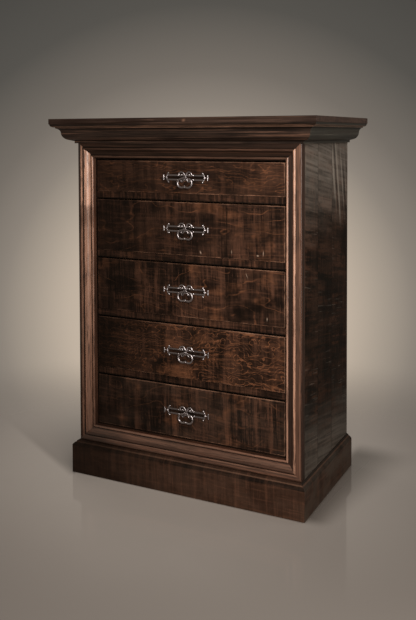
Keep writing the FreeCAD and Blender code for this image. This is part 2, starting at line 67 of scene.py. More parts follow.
class Wire:  # one node socket that takes part in sums
    def __init__(self, tree, socket=None):
        self.tree, self.socket = tree, socket

    def node(self, kind, settings=None, sockets=None, out=0):
        made = self.tree.nodes.new("ShaderNode" + kind)
        for key, value in (settings or {}).items():
            if key == "stops":
                fillRamp(made.color_ramp, value)
            else:
                setattr(made, key, value)
        for key, value in (sockets or {}).items():
            if isinstance(value, Wire):
                self.tree.links.new(value.socket, made.inputs[key])
            else:
                made.inputs[key].default_value = value
        return Wire(self.tree, made.outputs[out] if made.outputs else None)

    def calc(self, operation, first, second=0.0):
        return self.node("Math", {"operation": operation}, {0: first, 1: second})

    def __add__(self, other):
        return self.calc("ADD", self, other)

    def __sub__(self, other):
        return self.calc("SUBTRACT", self, other)

    def __rsub__(self, other):
        return self.calc("SUBTRACT", other, self)

    def __mul__(self, other):
        return self.calc("MULTIPLY", self, other)

    def __truediv__(self, other):
        return self.calc("DIVIDE", self, other)

    def __abs__(self):
        return self.calc("ABSOLUTE", self)

    __radd__ = __add__
    __rmul__ = __mul__

    def least(self, other):
        return self.calc("MINIMUM", self, other)

    def most(self, other):
        return self.calc("MAXIMUM", self, other)

    def sine(self):
        return self.calc("SINE", self)

    def whole(self):
        return self.calc("FLOOR", self)

    def over(self, edge):  # 1 where the value is above the edge
        return self.calc("GREATER_THAN", self, edge)

    def rise(self, low, high):  # smooth step from 0 at low to 1 at high
        return self.node("MapRange", {"interpolation_type": "SMOOTHSTEP"}, {0: self, 1: low, 2: high})

    def hump(self, middle, reach):  # 1 at the middle, 0 from reach away
        return abs(self - middle).rise(reach, 0.0)

    def within(self, low, high, soft):  # 1 between low and high, with soft ends
        return self.rise(low - soft, low + soft) * self.rise(high + soft, high - soft)

    def tint(self, under, paint):  # this value is the mask
        return self.node("Mix", {"data_type": "RGBA"}, {0: self, 6: under, 7: paint}, 2)

    def spread(self, factors):  # this value is a coordinate
        return self.node("VectorMath", {"operation": "MULTIPLY"}, {0: self, 1: factors})

    def noise(self, factors, detail=2.0, roughness=0.5):
        return self.node("TexNoise", None, {"Vector": self.spread(factors), "Scale": 1.0, "Detail": detail,
                                            "Roughness": roughness})

    def split(self):
        made = self.node("SeparateXYZ", None, {0: self}).socket.node
        return [Wire(self.tree, socket) for socket in made.outputs]

    def joined(self, x, y, z):
        return self.node("CombineXYZ", None, {0: x, 1: y, 2: z})


def fillRamp(ramp, stops):
    while len(ramp.elements) > 1:
        ramp.elements.remove(ramp.elements[-1])
    ramp.elements[0].position, ramp.elements[0].color = stops[0]
    for position, colour in stops[1:]:
        ramp.elements.new(position).color = colour


def paint(red, green, blue):  # display values 0 to 255 to the renderer's own
    shares = [value / 255 for value in (red, green, blue)]
    return tuple(((s + 0.055) / 1.055) ** 2.4 if s > 0.04 else s / 12.92 for s in shares) + (1.0,)


def newFinish(name):
    finish = bpy.data.materials.new(name)
    finish.use_nodes = True
    finish.node_tree.nodes.clear()
    return finish, Wire(finish.node_tree)


def closeFinish(wire, sockets, bump, bumpDepth):
    normal = wire.node("Bump", None, {"Strength": 1.0, "Distance": bumpDepth, "Height": bump})
    shader = wire.node("BsdfPrincipled", None, dict(sockets, Normal=normal))
    wire.node("OutputMaterial", None, {"Surface": shader})


def dress(finish, *names):
    for name in names:
        nodes[name].data.materials.clear()
        nodes[name].data.materials.append(finish)


stain = {
    "black": paint(12, 7, 4),
    "dark": paint(30, 19, 13),
    "mid": paint(57, 38, 28),
    "warm": paint(95, 63, 47),
    "amber": paint(126, 81, 55),
    "rubbedAndLit": paint(146, 108, 86),
    "pale": paint(176, 150, 130),
    "grey": paint(60, 54, 47),
    "sheenGrey": paint(104, 95, 86),
    "chalk": paint(138, 128, 116),
    "gapShade": paint(7, 5, 4),
}
axisNumber = {"X": 0, "Y": 1, "Z": 2}


def nearestEdge(along, across, g, c, box):  # distance in from the outline of a board
    low, high = box
    return (along - low[g]).least(high[g] - along).least((across - low[c]).least(high[c] - across))


def scratches(along, across, marks):  # short pale nicks: (along, across, half length, lean, half width)
    found = None
    for at, up, reach, lean, width in marks:
        run = across - up
        aside = along - at - run * lean
        one = aside.hump(0.0, width) * run.hump(0.0, reach)
        found = one if found is None else found.most(one)
    return found


# how often each pattern of a sawn board repeats in a metre: along the grain, across it and in depth
sawnScales = {
    "wander": (2.4, 6.0, 6.0),
    "streaks": (7.0, 110.0, 30.0),
    "figured": (7.0, 11.0, 11.0),
    "pores": (24.0, 760.0, 90.0),
    "cloud": (6.0, 9.0, 9.0),
    "broken": (26.0, 70.0, 26.0),
    "sawn": (3.6, 4.8, 4.8),
    "blush": (9.0, 13.0, 13.0),
    "blots": (5.0, 9.0, 9.0),
    "rays": (48.0, 1.6, 4.0),
    "chips": (60.0, 60.0, 60.0),
    "strokes": (150.0, 7.0, 7.0),
    "stroked": (7.0, 5.0, 5.0),
}
# wear, dirt, painted shade and painted highlights, in metres
boardWearAndLight = {
    "seamJump": 3.7,              # how far the pattern jumps where another board starts
    "ragged": 0.3,                # how uneven the end of a shaded or faded stretch is
    "bandSoft": 0.001,
    "edge": (0.0042, 0.0008),     # distances in from the outline where the wear, partly a painted highlight, starts and is full
    "chips": 0.006,
    "sawDepth": 0.0010,
    "grime": (0.010, 0.004),      # half height and softness of the darker line between a pull's straps: dirt and painted shade
    "grimeEnds": (0.080, 0.070),  # distances from the middle where it ends and is full
    "pullShadow": (0.030, 0.014, 0.014),  # the wider painted shadow of the pull, mostly below it: down, up and softness
    "pullShadowEnds": (0.110, 0.030),
    "pullShadowAside": 0.006,
    "gapShade": (0.0025, 0.0055),      # depths behind a drawer's face where painted shade turns it dark
}


def sawnBoard(name, look, box):
    finish, wire = newFinish(name)
    g, c = axisNumber[look["grain"]], axisNumber[look["cross"]]
    place = wire.node("TexCoord", None, None, "Object").split()
    along, across, depth = place[g], place[c], place[3 - g - c]
    shift = look["seed"]
    jointAndShadeLine = None
    for seam in look["seams"]:  # past a seam another board starts
        shift = across.over(seam) * boardWearAndLight["seamJump"] + shift
        line = across.hump(seam, look["seamWidth"])
        jointAndShadeLine = line if jointAndShadeLine is None else jointAndShadeLine.most(line)
    board = wire.joined(along + shift, across, depth + shift)
    # fibres wander, and evenly spaced lines through a slow field draw the figure
    bent = across + (board.noise(sawnScales["wander"]) - 0.5) * look["swirl"]
    fibre = wire.joined(along + shift, bent, depth)
    streaks = fibre.noise(sawnScales["streaks"], 4.0, 0.62)
    slope = look["lines"] + look["rings"] * look["flow"][1] * 0.4
    figure = (across * look["lines"] + board.noise(look["flow"], 3.0) * look["rings"]).sine()
    curls = abs(figure).rise(slope * look["hair"], slope * look["hair"] * 0.3)
    curled = board.noise(sawnScales["figured"]).rise(look["bare"], look["bare"] + 0.2)
    curled = curled * (streaks.rise(0.34, 0.58) * 0.7 + 0.3)
    pores = fibre.noise(sawnScales["pores"], 1.0)
    curled = curled * (pores.rise(0.60, 0.40) * 0.6 + 0.4)
    cloud = board.noise(sawnScales["cloud"], 4.0, 0.66)
    # saw marks run straight across the board: broad bands, and fine lines that come and go
    marks = wire.joined(along + across * look["sawLean"] + shift, across, depth)
    pitch, length = look["sawPitch"], look["sawBreak"]
    broad = marks.noise((pitch * 0.4, length * 0.6, 4.0), 4.0, 0.66)
    broken = board.noise(sawnScales["broken"]).rise(0.34, 0.62)
    dashes = marks.noise((pitch * 2.2, length, 4.0)) - 0.5
    dashes = dashes * (broken * 0.8 + 0.2) + 0.5
    sawn = (board.noise(sawnScales["sawn"], 1.0).rise(0.30, 0.56) * 0.5 + 0.5) * look["saw"]
    colour = cloud.rise(0.36, 0.66).tint(stain["dark"], stain["mid"])
    colour = (streaks.rise(0.50, 0.68) * look["streaks"]).tint(colour, stain[look["streakTone"]])
    colour = (streaks.rise(0.48, 0.32) * look["streaks"]).tint(colour, stain["black"])
    colour = (broad.rise(0.50, 0.66) * sawn * 0.7).tint(colour, stain["warm"])
    colour = (broad.rise(0.50, 0.36) * sawn).tint(colour, stain["black"])
    colour = (dashes.rise(0.53, 0.66) * sawn * 0.5).tint(colour, stain["warm"])
    colour = (dashes.rise(0.48, 0.34) * sawn * 0.9).tint(colour, stain["black"])
    blush = board.noise(sawnScales["blush"], 3.0, 0.6).rise(0.52, 0.72) * (broad.rise(0.36, 0.60) * 0.7 + 0.3)
    colour = (blush * look["blush"]).tint(colour, stain["amber"])
    colour = (pores.rise(0.54, 0.74) * 0.4).tint(colour, stain["black"])
    blots = board.noise(sawnScales["blots"], 4.0, 0.6).rise(0.54, 0.68)
    colour = (blots * look["blots"]).tint(colour, stain["black"])
    colour = (curls * curled * look["figure"]).tint(colour, stain["amber"])
    if look["greyed"]:
        colour = (cloud.rise(0.30, 0.66) * look["greyed"]).tint(colour, stain["grey"])
    for at, width, amount in look["scores"]:  # deep single saw strokes
        colour = (along.hump(at, width) * (broken * 0.6 + 0.4) * amount).tint(colour, stain["black"])
    for low, high, tone, amount in look["bands"]:  # stretches of another tone: more stain, rubbed wear, and on the plinth painted shade on the bevel and ledge
        colour = (across.within(low, high, boardWearAndLight["bandSoft"]) * amount).tint(colour, stain[tone])
    for lowEnd, highEnd, amount in look["paintedShade"]:  # painted shade, darker towards the low end
        ragged = along + (cloud - 0.5) * boardWearAndLight["ragged"]
        colour = (ragged.rise(highEnd, lowEnd) * amount).tint(colour, stain["black"])
    for lowEnd, highEnd, amount in look["faded"]:  # painted sheen, lighter grey towards the high end
        ragged = along + (broad - 0.5) * boardWearAndLight["ragged"]
        sheenMask = ragged.rise(lowEnd, highEnd) * (dashes.rise(0.38, 0.58) * 0.5 + 0.5)
        colour = (sheenMask * amount).tint(colour, stain["sheenGrey"])
    if look["fan"]:  # steep strokes of a coarse saw on the last board
        rays = wire.joined(across + along * look["fanLean"], along, depth).noise(sawnScales["rays"])
        ragged = along + (cloud - 0.5) * boardWearAndLight["ragged"]
        reached = across.over(look["seams"][-1]) * ragged.rise(*look["fan"])
        colour = (rays.rise(0.52, 0.66) * reached * 0.5).tint(colour, stain["chalk"])
        colour = (rays.rise(0.46, 0.34) * reached * 0.7).tint(colour, stain["black"])
    chips = board.noise(sawnScales["chips"])
    wornAndLitEdge = nearestEdge(along, across, g, c, box) + (chips - 0.5) * boardWearAndLight["chips"]
    wornAndLitEdge = wornAndLitEdge.rise(*boardWearAndLight["edge"]) * along.rise(box[0][g] * 1.6, box[1][g])  # more to the high end, where it also paints edge highlights
    wornAndLitEdge = wornAndLitEdge * (cloud.rise(0.42, 0.60) * 0.75 + 0.25)
    colour = (wornAndLitEdge * look["edge"]).tint(colour, stain["rubbedAndLit"])
    if look["scuffs"]:  # pale strokes left by the saw
        strokes = marks.noise(sawnScales["strokes"], 2.0, 0.6).rise(0.60, 0.70)
        strokes = strokes * board.noise(sawnScales["stroked"]).rise(0.46, 0.62) * look["scuffs"]
        colour = strokes.tint(colour, stain["chalk"])
    # dark joints between boards, and on the rails painted shade lines under the drawers
    if jointAndShadeLine:
        colour = jointAndShadeLine.tint(colour, stain["black"])
    nicks = scratches(along, across, look["nicks"])
    if nicks:
        colour = (nicks * (chips.rise(0.3, 0.6) * 0.5 + 0.3)).tint(colour, stain["pale"])
    if look["front"]:
        # darker round the pull: a line between its straps, dirt and painted shade, and a wider painted shadow
        # below it
        middle = (box[0][c] + box[1][c]) / 2
        half, soft = boardWearAndLight["grime"]
        grime = across.within(middle - half, middle + half, soft) * abs(along).rise(*boardWearAndLight["grimeEnds"])
        down, up, soft = boardWearAndLight["pullShadow"]
        pullShadow = across.within(middle - down, middle + up, soft)
        pullShadow = pullShadow * abs(along + boardWearAndLight["pullShadowAside"]).rise(*boardWearAndLight["pullShadowEnds"])
        colour = (grime * 0.75).most(pullShadow * 0.3).tint(colour, stain["black"])
        # the sides and top behind the face are painted dark as the shade in the gap
        face = box[0][3 - g - c]
        gapStart, gapFull = boardWearAndLight["gapShade"]
        colour = depth.rise(face + gapStart, face + gapFull).tint(colour, stain["gapShade"])
    sawDepth = (broad * 0.7 + dashes * 0.8) * look["saw"]
    height = (sawDepth + streaks * 0.3 + pores * 0.1 - wornAndLitEdge * 0.2) * look["rough"]
    rough = 0.60 + (dashes - 0.5) * 0.3 - streaks * 0.14 + pores * 0.08
    closeFinish(wire, {"Base Color": colour, "Roughness": rough, "Specular IOR Level": look["sheen"]},
                height, boardWearAndLight["sawDepth"])
    return finish


# a board has its grain along one axis; sizes are in metres, the others mostly strengths from 0 to 1
sawnShared = {
    "grain": "X", "cross": "Z", "seed": 0.0,
    "seams": [], "seamWidth": 0.0022,  # joints between boards, by their place across the grain; on the rails they are painted shade lines
    "swirl": 0.06, "streaks": 0.35, "streakTone": "warm",
    # the curly figure: lines across a board, the slow field that bends them, their width and where they fade
    "lines": 50.0, "flow": (2.6, 5.0, 5.0), "rings": 26.0, "hair": 0.0016, "bare": 0.36, "figure": 0.55,
    "blush": 0.0, "blots": 0.5, "greyed": 0.0,
    "saw": 0.8, "sawPitch": 88.0, "sawBreak": 5.0, "sawLean": 0.03, "scuffs": 0.0,
    "fan": None, "fanLean": 0.22,
    "scores": [], "bands": [], "paintedShade": [], "faded": [], "nicks": [],  # marks of one place each
    "edge": 0.8, "front": False, "rough": 1.0, "sheen": 0.07,
}
frontShared = dict(sawnShared, front=True)
# each front carries painted shade, darker towards its left end
frontLooks = {
    1: {"seed": 1.3, "swirl": 0.09, "lines": 190.0, "flow": (6.0, 14.0, 14.0), "rings": 34.0, "hair": 0.0010,
        "figure": 0.5, "streaks": 0.27, "streakTone": "amber", "saw": 0.4, "blush": 0.12,
        "paintedShade": [(-0.42, 0.05, 0.65)]},
    2: {"seed": 2.7, "saw": 0.75, "blush": 0.4, "blots": 0.8, "paintedShade": [(-0.45, 0.15, 0.8)],
        "scores": [(0.165, 0.004, 0.8), (0.338, 0.003, 0.8)],
        "nicks": [(0.306, 0.895, 0.013, 0.05, 0.0022), (0.184, 0.893, 0.010, 0.0, 0.0018),
                  (0.060, 0.884, 0.009, -0.3, 0.004), (0.285, 0.886, 0.004, 0.0, 0.006)]},
    3: {"seed": 4.1, "figure": 0.5, "saw": 0.85, "blush": 0.6, "blots": 0.85, "paintedShade": [(-0.45, 0.10, 0.7)],
        "nicks": [(0.243, 0.812, 0.014, -0.35, 0.0014), (0.320, 0.665, 0.009, 0.0, 0.003)]},
    4: {"seed": 5.9, "swirl": 0.12, "bare": 0.26, "lines": 150.0, "flow": (8.0, 11.0, 11.0), "rings": 46.0,
        "hair": 0.0011, "figure": 0.85, "streaks": 0.44, "streakTone": "amber", "saw": 0.55, "blush": 0.5,
        "paintedShade": [(-0.45, 0.14, 0.9), (-0.45, 0.02, 0.45)]},
    5: {"seed": 7.2, "figure": 0.32, "saw": 0.85, "blush": 0.45, "greyed": 0.15,
        "paintedShade": [(-0.45, 0.05, 0.65)]},
}
for number, look in frontLooks.items():
    node = "drawer_%d_front" % number
    dress(sawnBoard("sawnFront%d" % number, dict(frontShared, **look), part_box(node)), node)

fronts = [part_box("drawer_%d_front" % number) for number in reversed(drawerNumbers)]  # from the lowest up
railMiddles = [(below[1].z + above[0].z) / 2 for below, above in zip(fronts, fronts[1:])]
railDrop = railMiddles[0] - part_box("drawer_rails")[0].z  # from a rail's middle to its lower edge
# the rails: a new pattern for each, a wide line of painted shade along each lower edge, and painted shade
# towards the left
carcassRail = {
    "figure": 0.1, "blush": 0.2, "sawPitch": 230.0, "edge": 0.0, "paintedShade": [(-0.45, 0.25, 0.5)],
    "seams": [middle - railDrop for middle in railMiddles], "seamWidth": 0.007,
}
sideBoards = {
    "grain": "Z", "cross": "Y", "seams": [-0.052, 0.105], "figure": 0.1, "streaks": 0.3,
    "saw": 1.0, "sawPitch": 46.0, "sawBreak": 4.0, "sawLean": 0.16, "scuffs": 0.18, "fan": (0.98, 1.10),
    "greyed": 0.1, "blots": 0.8, "edge": 0.1, "rough": 0.4, "sheen": 0.03,
    "bands": [(-0.052, 0.105, "black", 0.3)],  # the middle board is darker
    # painted shade low on the side, and a painted sheen at its top and bottom
    "paintedShade": [(0.95, 1.10, 0.5)],
    "faded": [(0.92, 1.24, 0.8), (0.40, 0.06, 0.7)],
}
plinthFront = {
    "figure": 0.04, "greyed": 0.2, "blush": 0.15, "blots": 0.35, "saw": 0.55, "sawPitch": 150.0, "edge": 0.0,
    # a warm face, a rubbed edge line that is partly a painted highlight, painted shade on the bevel, and the
    # ledge
    "bands": [(0.0, 0.1050, "warm", 0.16), (0.1165, 0.1195, "rubbedAndLit", 0.30),
              (0.1060, 0.1160, "black", 0.45), (0.1200, 0.1260, "mid", 0.35)],
    "paintedShade": [(-0.5, 0.2, 0.8)],
}
plinthSide = {
    "grain": "Y", "figure": 0.05, "saw": 0.4, "greyed": 0.85, "blots": 0.3, "edge": 0.0,
    # a warm face, a worn edge line that is partly a painted highlight, and painted shade on the bevel and
    # ledge
    "bands": [(0.0, 0.1050, "warm", 0.12), (0.1165, 0.1190, "warm", 0.35),
              (0.1060, 0.1160, "black", 0.35), (0.1195, 0.1260, "black", 0.7)],
}
inShadow = {"figure": 0.0, "saw": 0.6, "edge": 0.0, "paintedShade": [(9.0, 9.5, 0.85)]}  # painted shade from end to end, for boards that sit in shadow behind the frame
sawnLooks = {
    "plinth_front": dict(plinthFront, seed=8.4),
    "drawer_rails": dict(carcassRail, seed=9.1),
    "top_rail": dict(inShadow, seed=9.8),
    "stile_left": dict(inShadow, seed=2.2, grain="Z", cross="X"),
    "side_panel_right": dict(sideBoards, seed=3.3),
    "side_panel_left": dict(sideBoards, seed=6.3),
    "plinth_right": dict(plinthSide, seed=5.2),
    "plinth_left": dict(plinthSide, seed=7.7),
}
sawnAlike = {
    "top_rail": ["bottom_rail"],
    "stile_left": ["stile_right"],
    "plinth_front": ["base_rail", "frieze_board"],
}
for node, look in sawnLooks.items():
    dress(sawnBoard("sawn_" + node, dict(sawnShared, **look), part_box(node)), node, *sawnAlike.get(node, []))
print("sawn boards finished")

# dark quirks with painted shade, and rubbed parts with painted highlights, of the frame, in metres in from
# its outer edge: from, to, strength fade is how much of the rubs and painted highlights is left at each
# height, and shaded stretches are painted shade, darker towards one end
frameWearAndLight = {
    "left": {"quirksAndShade": [(-0.0010, 0.0100, 0.45), (0.0208, 0.0240, 1.0), (0.0498, 0.0524, 1.0)],
             "rubsAndHighlights": [(0.0120, 0.0198, 1.0), (0.0295, 0.0490, 0.95), (0.0535, 0.0610, 1.0)],
             "fade": [(0.12, 0.20), (0.45, 0.32), (0.86, 0.56), (0.95, 0.56), (0.985, 0.34), (1.03, 0.52),
                      (1.044, 1.0)],
             "paintedShade": [(0.12, 0.30, 0.35)]},
    "right": {"quirksAndShade": [(-0.0030, 0.0003, 0.6), (0.0207, 0.0218, 0.3), (0.0335, 0.0480, 0.45),
                         (0.0498, 0.0524, 0.9)],
              "rubsAndHighlights": [(0.0045, 0.0085, 0.35), (0.0085, 0.0205, 0.12), (0.0222, 0.0300, 1.0),
                       (0.0535, 0.0605, 0.85)],
              "fade": [(0.12, 0.65), (0.86, 0.85), (1.2, 1.0)]},
    "top": {"quirksAndShade": [(0.0208, 0.0236, 0.8), (0.0492, 0.0524, 0.8)],
            "rubsAndHighlights": [(0.0245, 0.0300, 0.08), (0.0540, 0.0600, 0.14)],
            "paintedShade": [(-0.45, 0.10, 0.3)]},
    "bottom": {"quirksAndShade": [(-0.0010, 0.0012, 0.8), (0.0208, 0.0236, 0.8), (0.0492, 0.0524, 0.7)],
               "rubsAndHighlights": [(0.0160, 0.0205, 0.28), (0.0040, 0.0160, 0.08), (0.0340, 0.0470, 0.14),
                        (0.0540, 0.0605, 0.32)],
               "paintedShade": [(-0.46, -0.16, 0.6)]},
    "cornice": {"quirksAndShade": [(-0.0010, 0.0055, 0.55), (0.0165, 0.0195, 0.9), (0.0600, 0.0640, 0.6)],
                "rubsAndHighlights": [(0.0075, 0.0150, 0.34)]},
}
moulding = {
    "upright": 1.4,                 # metres of height that the fades are drawn on
    "rubSoft": 0.0016,              # softness of the edges of rubs and quirks, with their painted highlights and shade
    "quirkSoft": 0.0005,
    "glossFrom": (0.0002, 0.0016),  # distances in from the outer side, which has no gloss left
    "coatRough": 0.30,
    "relief": 0.0004,
}
# how often each pattern of a moulding repeats in a metre, as for the boards
mouldScales = {
    "wander": (3.0, 10.0, 10.0),
    "streaks": (2.2, 170.0, 170.0),
    "fine": (18.0, 700.0, 700.0),
    "cloud": (5.0, 14.0, 14.0),
    "patches": (9.0, 60.0, 60.0),
    "smudges": (11.0, 45.0, 45.0),
    "grain": (13.0, 260.0, 260.0),
}


def rubbedAndLitMoulding(name, look):
    finish, wire = newFinish(name)
    g, c = axisNumber[look["grain"]], axisNumber[look["cross"]]
    place = wire.node("TexCoord", None, None, "Object").split()
    along, across, depth = place[g] + look["seed"], place[c], place[3 - g - c]
    fibre = wire.joined(along, across, depth)
    wander = fibre.noise(mouldScales["wander"])
    bent = wire.joined(along, across + wander * 0.012, depth + wander * 0.01)
    streaks = bent.noise(mouldScales["streaks"], 4.0, 0.62)
    fine = fibre.noise(mouldScales["fine"], 1.0)
    cloud = fibre.noise(mouldScales["cloud"], 3.0, 0.6)
    colour = cloud.rise(0.3, 0.68).tint(look["dark"], look["mid"])
    colour = (streaks.rise(0.50, 0.66) * 0.8).tint(colour, look["warm"])
    colour = (streaks.rise(0.48, 0.34) * 0.8).tint(colour, look["deep"])
    coat = look["gloss"]
    if look["wearAndLight"]:
        inward = abs(place[c] - look["outer"])
        patchy = fibre.noise(mouldScales["patches"], 3.0, 0.6).rise(0.26, 0.58) * 0.55 + 0.45
        # the painted highlights of the uprights fade with height, and so does their gloss
        if "fade" in look["wearAndLight"]:
            upright = moulding["upright"]
            stops = [(height / upright, (share, share, share, 1.0)) for height, share in look["wearAndLight"]["fade"]]
            kept = wire.node("ValToRGB", {"stops": stops}, {0: place[g] / upright})
            patchy = patchy * kept
            coat = inward.rise(*moulding["glossFrom"]) * kept * look["gloss"]
            smudge = fibre.noise(mouldScales["smudges"], 3.0, 0.6).rise(0.56, 0.70) * 0.7
            colour = smudge.tint(colour, stain["black"])
            patchy = patchy * (1 - smudge * 0.5)
        grain = fibre.noise(mouldScales["grain"], 2.0, 0.6)
        patchy = patchy * (1 - grain.rise(0.50, 0.66) * 0.55)
        # rubbed wear, partly painted highlights
        for low, high, strength in look["wearAndLight"]["rubsAndHighlights"]:
            rubAndHighlight = inward.within(low, high, moulding["rubSoft"])
            colour = (rubAndHighlight * patchy * strength).tint(colour, look["rubbedAndLit"])
        colour = (grain.rise(0.54, 0.70) * 0.5).tint(colour, look["deep"])
        # dark quirks, and painted shade where a part faces away from the light
        for low, high, strength in look["wearAndLight"]["quirksAndShade"]:
            quirkAndShade = inward.within(low, high, moulding["quirkSoft"])
            colour = (quirkAndShade * strength).tint(colour, stain["black"])
        # painted shade, darker towards one end of the moulding
        for lowEnd, highEnd, amount in look["wearAndLight"].get("paintedShade", []):
            ragged = place[g] + (cloud - 0.5) * boardWearAndLight["ragged"]
            colour = (ragged.rise(highEnd, lowEnd) * amount).tint(colour, stain["black"])
    nicks = scratches(place[0], place[2], look["nicks"])
    if nicks:
        colour = (nicks * (cloud.rise(0.3, 0.6) * 0.3 + 0.2)).tint(colour, stain["rubbedAndLit"])
    height = streaks * 0.4 + fine * 0.2
    rough = 0.42 + streaks * 0.14 + (cloud - 0.5) * 0.2
    closeFinish(wire, {"Base Color": colour, "Roughness": rough, "Specular IOR Level": look["sheen"],
                       "Coat Weight": coat, "Coat Roughness": moulding["coatRough"]},
                height, moulding["relief"])
    return finish


# the rubbed tone of the mouldings also paints their highlights
mouldTones = {
    "deep": stain["dark"], "dark": paint(48, 30, 21), "mid": paint(68, 43, 31), "warm": paint(96, 61, 45),
    "rubbedAndLit": paint(186, 139, 114), "gloss": 0.8, "sheen": 0.12,
}
# the top frame's tones are painted darker, as shade under the cornice
topTonesPaintedShade = dict(mouldTones, dark=paint(29, 19, 13), mid=paint(43, 28, 20), warm=paint(69, 45, 33), gloss=0.06)
slabTones = {
    "deep": stain["dark"], "dark": paint(40, 29, 24), "mid": paint(56, 42, 35), "warm": paint(80, 60, 50),
    "rubbedAndLit": stain["rubbedAndLit"], "gloss": 0.06, "sheen": 0.12,
}
boardTones = dict(slabTones, gloss=0.02, sheen=0.04)
corniceTones = dict(slabTones, deep=stain["black"], dark=paint(27, 19, 15), mid=paint(48, 35, 28),
                    warm=paint(92, 66, 52))
greyTones = dict(slabTones, dark=paint(34, 32, 27), mid=paint(48, 45, 38), warm=paint(70, 65, 56))
slabNicks = [(0.049, 1.3610, 0.0080, 0.3, 0.0100)]  # one pale smudge on the front edge of the top
# grain, cross, seed, tones and the row of frameWearAndLight
mouldLooks = {
    "frame_left": ("Z", "X", 1.1, mouldTones, "left"),
    "frame_right": ("Z", "X", 2.3, mouldTones, "right"),
    "frame_top": ("X", "Z", 3.7, topTonesPaintedShade, "top"),
    "frame_bottom": ("X", "Z", 4.9, mouldTones, "bottom"),
    "cornice_front": ("X", "Z", 5.3, corniceTones, "cornice"),
    "cornice_right": ("Y", "Z", 6.1, greyTones, "cornice"),
    "cornice_left": ("Y", "Z", 7.9, greyTones, "cornice"),
    "top_slab": ("X", "Y", 8.8, boardTones, None),
}
for node, (grain, cross, seed, tones, side) in mouldLooks.items():
    look = dict(tones, grain=grain, cross=cross, seed=seed, wearAndLight=frameWearAndLight.get(side))
    look["nicks"] = slabNicks if node == "top_slab" else []
    if side:  # which end of the node's box is the moulding's outer edge
        look["outer"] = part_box(node)[0 if side in ("left", "bottom") else 1][axisNumber[cross]]
    dress(rubbedAndLitMoulding("moulded_" + node, look), node)
print("mouldings finished")

bareScales = {
    "wander": (2.0, 7.0, 7.0),
    "rings": (1.2, 75.0, 40.0),
    "fine": (12.0, 600.0, 300.0),
    "cloud": (2.5, 5.0, 5.0),
}
bareDepth = 0.0005  # metres of relief


def bareWood(name, look):
    finish, wire = newFinish(name)
    g, c = axisNumber[look["grain"]], axisNumber[look["cross"]]
    place = wire.node("TexCoord", None, None, "Object").split()
    shift = look["seed"]
    if look["boardWidth"]:  # each board has its own pattern
        boards = (place[c] + look["boardStart"]) / look["boardWidth"]
        shift = boards.whole() * look["boardJump"] + shift
    along, across, depth = place[g] + shift, place[c], place[3 - g - c]
    wander = wire.joined(along, across, depth).noise(bareScales["wander"])
    fibre = wire.joined(along, across + (wander - 0.5) * 0.05, depth)
    rings = fibre.noise(bareScales["rings"], 3.0, 0.55)
    fine = fibre.noise(bareScales["fine"])
    cloud = wire.joined(along, across, depth).noise(bareScales["cloud"], 3.0)
    colour = rings.rise(0.35, 0.65).tint(look["pale"], look["ring"])
    colour = (cloud.rise(0.40, 0.70) * 0.4).tint(colour, look["ring"])
    colour = (fine.rise(0.5, 0.8) * 0.4).tint(colour, look["pore"])
    height = rings * 0.4 + fine * 0.3
    rough = 0.62 + rings * 0.12
    closeFinish(wire, {"Base Color": colour, "Roughness": rough, "Specular IOR Level": 0.3},
                height, bareDepth)
    return finish


boxTones = {
    "pale": paint(172, 134, 94), "ring": paint(138, 100, 66), "pore": paint(94, 66, 43),
    "boardWidth": None,
}
backTones = {
    "pale": paint(112, 84, 60), "ring": paint(86, 62, 44), "pore": paint(56, 40, 28),
    "boardWidth": 0.149, "boardStart": 3.0, "boardJump": 1.9,  # metres; the pattern jumps from board to board
}
sideGrain = bareWood("bareWoodLengthways", dict(boxTones, grain="Y", cross="Z", seed=1.7))
crossGrain = bareWood("bareWoodCrossways", dict(boxTones, grain="X", cross="Y", seed=4.4))
uprightGrain = bareWood("bareWoodUpright", dict(backTones, grain="Z", cross="X", seed=6.6))
dress(sideGrain, "drawer_runners", "drawer_guides", "top_kickers", "top_cleats")
dress(crossGrain, "back_rails", "bottom_board", "drawer_stops")
dress(uprightGrain, "back_boards", "corner_blocks")
for number in drawerNumbers:
    dress(sideGrain, "drawer_%d_box" % number)
    dress(crossGrain, "drawer_%d_bottom" % number)

pewterLook = {
    "hollow": paint(30, 27, 27),
    "clean": paint(166, 158, 159),
    "flat": paint(116, 109, 111),  # faces that look straight out are painted darker than the flanks
    "flatFacing": (-0.90, -0.995),
    "pit": paint(58, 54, 50),
    "hollowReach": 0.005,          # metres
    "grimeScale": (180.0, 180.0, 180.0),
    "pitScale": (700.0, 700.0, 700.0),
    "rough": 0.42,
    "pitDepth": 0.0002,
}


def castPewter(name):
    finish, wire = newFinish(name)
    place = wire.node("TexCoord", None, None, "Object")
    facing = wire.node("TexCoord", None, None, "Normal").split()[1]
    hollow = wire.node("AmbientOcclusion", {"samples": 8, "only_local": True},
                       {"Distance": pewterLook["hollowReach"]}, "AO")
    grime = place.noise(pewterLook["grimeScale"], 3.0, 0.6)
    pits = place.noise(pewterLook["pitScale"])
    clean = (hollow + (grime - 0.5) * 0.5).rise(0.35, 0.85)
    colour = clean.tint(pewterLook["hollow"], pewterLook["clean"])
    # faces that look straight out are painted darker
    colour = (facing.rise(*pewterLook["flatFacing"]) * 0.6).tint(colour, pewterLook["flat"])
    colour = (pits.rise(0.56, 0.74) * 0.4).tint(colour, pewterLook["pit"])
    rough = pewterLook["rough"] - clean * 0.12 + (pits - 0.5) * 0.15
    height = pits * 0.6 + grime * 0.4
    closeFinish(wire, {"Base Color": colour, "Metallic": 1.0, "Roughness": rough},
                height, pewterLook["pitDepth"])
    return finish


steelLook = {
    "dark": paint(140, 138, 134),
    "bright": paint(190, 188, 184),
    "latheScale": (40.0, 40.0, 2400.0),
    "latheDepth": 0.0001,
}


